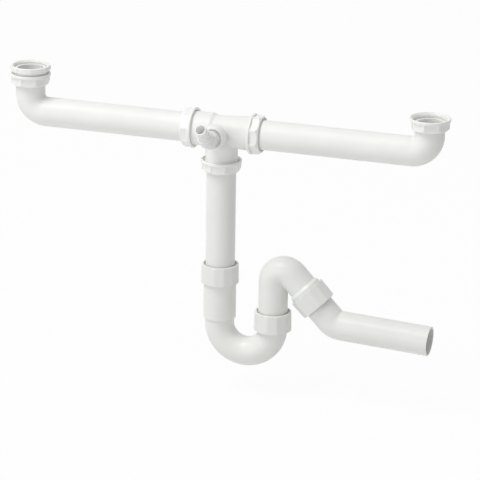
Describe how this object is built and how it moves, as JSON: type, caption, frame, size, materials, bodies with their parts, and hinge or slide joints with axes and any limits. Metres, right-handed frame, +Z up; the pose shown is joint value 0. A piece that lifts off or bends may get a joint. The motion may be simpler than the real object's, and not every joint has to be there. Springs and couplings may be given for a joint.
{
  "type": "sink trap",
  "caption": "White plastic double bowl sink trap with union-nut arms, tee with hose nozzle, sliding down pipe, U-bend, swan neck and outlet pipe.",
  "frame": {"origin": "centre of the right inlet nut's thread, at its top end", "axes": "+X along the two arms from the left inlet to the right one, +Z up out of the inlets, -Y out of the tee towards the hose nozzle"},
  "size_m": [0.6466, 0.1187, 0.4125],
  "materials": {
    "white_plastic": "satin",
    "trap_plastic": "satin",
    "washer_plastic": "matte",
    "rubber": "matte"
  },
  "bodies": {
    "right_arm": {"right_arm": "white_plastic", "right_inlet_washer": "washer_plastic"},
    "right_arm_seal": {"right_arm_seal": "rubber"},
    "tee": {"tee_body": "white_plastic", "nozzle_washer": "rubber", "down_pipe_seal": "rubber"},
    "left_arm_seal": {"left_arm_seal": "rubber"},
    "left_arm": {"left_arm": "white_plastic", "left_inlet_washer": "washer_plastic"},
    "inlet_extension": {"inlet_extension": "white_plastic", "extension_washer": "washer_plastic"},
    "down_pipe": {"down_pipe": "trap_plastic"},
    "trap_inlet_seal": {"trap_inlet_seal": "rubber"},
    "u_bend": {"u_bend": "trap_plastic", "trap_joint_seal": "rubber"},
    "swan_neck": {"swan_neck": "trap_plastic", "outlet_seal": "rubber"},
    "outlet_bend": {"outlet_bend": "trap_plastic"},
    "hose_nozzle": {"hose_nozzle": "white_plastic"},
    "right_inlet_nut": {"right_inlet_nut": "white_plastic"},
    "left_inlet_nut": {"left_inlet_nut": "white_plastic"},
    "right_arm_nut": {"right_arm_nut": "white_plastic"},
    "left_arm_nut": {"left_arm_nut": "white_plastic"},
    "down_pipe_nut": {"down_pipe_nut": "white_plastic"},
    "trap_inlet_nut": {"trap_inlet_nut": "trap_plastic"},
    "trap_joint_nut": {"trap_joint_nut": "trap_plastic"},
    "outlet_nut": {"outlet_nut": "trap_plastic"},
    "nozzle_nut": {"nozzle_nut": "white_plastic"}
  },
  "joints": [
    {"name": "right_arm_slide", "type": "slide", "parent": "right_arm", "child": "right_arm_seal", "axis": [1, 0, 0], "range_m": [-0.012, 0.005]},
    {"name": "right_arm_turn", "type": "hinge", "parent": "right_arm_seal", "child": "tee", "pos_m": [-0.2485, 0, -0.0482], "axis": [1, 0, 0], "range_deg": [-90, 90]},
    {"name": "left_arm_turn", "type": "hinge", "parent": "tee", "child": "left_arm_seal", "pos_m": [-0.346, 0, -0.0482], "axis": [1, 0, 0], "range_deg": [-90, 90]},
    {"name": "left_arm_slide", "type": "slide", "parent": "left_arm_seal", "child": "left_arm", "axis": [1, 0, 0], "range_m": [-0.012, 0.005]},
    {"name": "down_pipe_slide", "type": "slide", "parent": "tee", "child": "down_pipe", "axis": [0, 0, 1], "range_m": [-0.008, 0.0045]},
    {"name": "trap_slide", "type": "slide", "parent": "down_pipe", "child": "trap_inlet_seal", "axis": [0, 0, 1], "range_m": [-0.022, 0.0245]},
    {"name": "trap_turn", "type": "hinge", "parent": "trap_inlet_seal", "child": "u_bend", "pos_m": [-0.3, 0, -0.2577], "axis": [0, 0, 1], "continuous": true},
    {"name": "swan_neck_turn", "type": "hinge", "parent": "u_bend", "child": "swan_neck", "pos_m": [-0.22, 0, -0.3197], "axis": [0, 0, 1], "range_deg": [-120, 120]},
    {"name": "outlet_turn", "type": "hinge", "parent": "swan_neck", "child": "outlet_bend", "pos_m": [-0.16061, 0, -0.282], "axis": [0.6947, 0, -0.7193], "continuous": true},
    {"name": "nozzle_turn", "type": "hinge", "parent": "tee", "child": "hose_nozzle", "pos_m": [-0.3, -0.034, -0.0482], "axis": [0, -1, 0], "continuous": true},
    {"name": "extension_turn", "type": "hinge", "parent": "left_arm", "child": "inlet_extension", "pos_m": [-0.589, 0, 0], "axis": [0, 0, 1], "continuous": true},
    {"name": "right_inlet_nut_turn", "type": "hinge", "parent": "right_arm", "child": "right_inlet_nut", "pos_m": [0, 0, 0], "axis": [0, 0, 1], "continuous": true},
    {"name": "left_inlet_nut_turn", "type": "hinge", "parent": "left_arm", "child": "left_inlet_nut", "pos_m": [-0.589, 0, 0.0073], "axis": [0, 0, 1], "continuous": true},
    {"name": "right_arm_nut_turn", "type": "hinge", "parent": "tee", "child": "right_arm_nut", "pos_m": [-0.2485, 0, -0.0482], "axis": [1, 0, 0], "continuous": true},
    {"name": "left_arm_nut_turn", "type": "hinge", "parent": "tee", "child": "left_arm_nut", "pos_m": [-0.346, 0, -0.0482], "axis": [1, 0, 0], "continuous": true},
    {"name": "down_pipe_nut_turn", "type": "hinge", "parent": "tee", "child": "down_pipe_nut", "pos_m": [-0.3, 0, -0.0972], "axis": [0, 0, 1], "continuous": true},
    {"name": "trap_inlet_nut_turn", "type": "hinge", "parent": "u_bend", "child": "trap_inlet_nut", "pos_m": [-0.3, 0, -0.2577], "axis": [0, 0, 1], "continuous": true},
    {"name": "trap_joint_nut_turn", "type": "hinge", "parent": "u_bend", "child": "trap_joint_nut", "pos_m": [-0.22, 0, -0.3197], "axis": [0, 0, 1], "continuous": true},
    {"name": "outlet_nut_turn", "type": "hinge", "parent": "swan_neck", "child": "outlet_nut", "pos_m": [-0.16061, 0, -0.282], "axis": [0.6947, 0, -0.7193], "continuous": true},
    {"name": "nozzle_nut_turn", "type": "hinge", "parent": "tee", "child": "nozzle_nut", "pos_m": [-0.3, -0.034, -0.0482], "axis": [0, -1, 0], "continuous": true}
  ]
}
